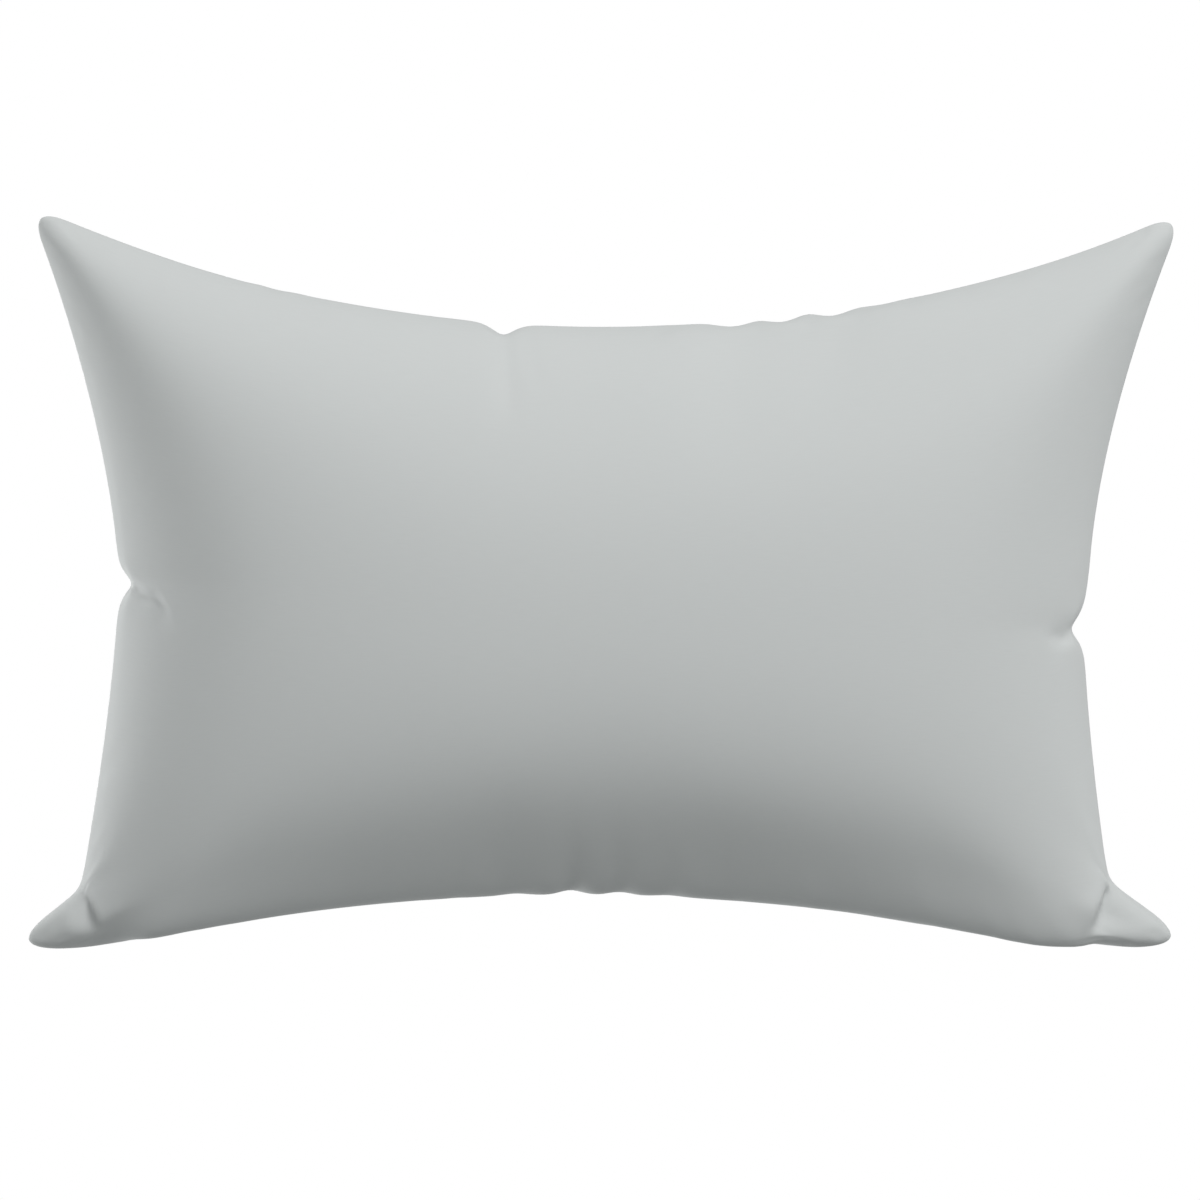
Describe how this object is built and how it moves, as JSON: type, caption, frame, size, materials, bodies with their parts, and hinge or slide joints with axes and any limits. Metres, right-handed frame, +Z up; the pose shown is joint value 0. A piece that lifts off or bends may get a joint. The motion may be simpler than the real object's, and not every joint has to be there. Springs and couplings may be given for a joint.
{
  "type": "bed pillow",
  "caption": "Plump rectangular bed pillow: a zipped woven cover with knife-edge seams and pointed corners over a stuffed insert, lying flat on its back face.",
  "frame": {"origin": "centre of the pillow's underside, on the surface that it lies on", "axes": "+X along the pillow's length, +Y towards its top edge, +Z up through its loft, out of the front face"},
  "size_m": [0.736, 0.472, 0.222],
  "materials": {
    "cover_fabric": "fine plain-weave cotton, matt",
    "ticking": "white cotton ticking",
    "fibre": "white hollow polyester fibre",
    "thread": "spun polyester thread",
    "zip_tape": "woven polyester tape",
    "zip_coil": "satin nylon filament",
    "zip_metal": "grey enamelled zinc",
    "label": "white satin ribbon, blank"
  },
  "bodies": {
    "pillow": {"cover_front_panel": "cover_fabric", "cover_back_panel": "cover_fabric", "cover_seam_thread": "thread", "cover_overlock_thread": "thread", "care_label": "label", "zip_tape_front": "zip_tape", "zip_tape_back": "zip_tape", "zip_coil_front": "zip_coil", "zip_coil_back": "zip_coil", "zip_stitching_front": "thread", "zip_stitching_back": "thread", "zip_top_stops": "zip_metal", "zip_bottom_stop": "zip_metal", "zip_bar_tacks": "thread", "insert_front_panel": "ticking", "insert_back_panel": "ticking", "insert_seam_thread": "thread", "insert_closing_stitches": "thread", "insert_label": "label", "fibre_fill": "fibre"},
    "zip_slider": {"zip_slider_body": "zip_metal", "zip_slider_pin": "zip_metal"},
    "zip_pull": {"zip_pull_tab": "zip_metal"}
  },
  "joints": [
    {"name": "slider_travel", "type": "hinge", "parent": "pillow", "child": "zip_slider", "pos_m": [0, -1.77448, 0.104], "axis": [0, 0, 1], "range_deg": [0, 15.36]},
    {"name": "pull_hinge", "type": "hinge", "parent": "zip_slider", "child": "zip_pull", "pos_m": [0.21107, -0.20897, 0.104], "axis": [0, 0, 1], "range_deg": [0, 175]}
  ]
}
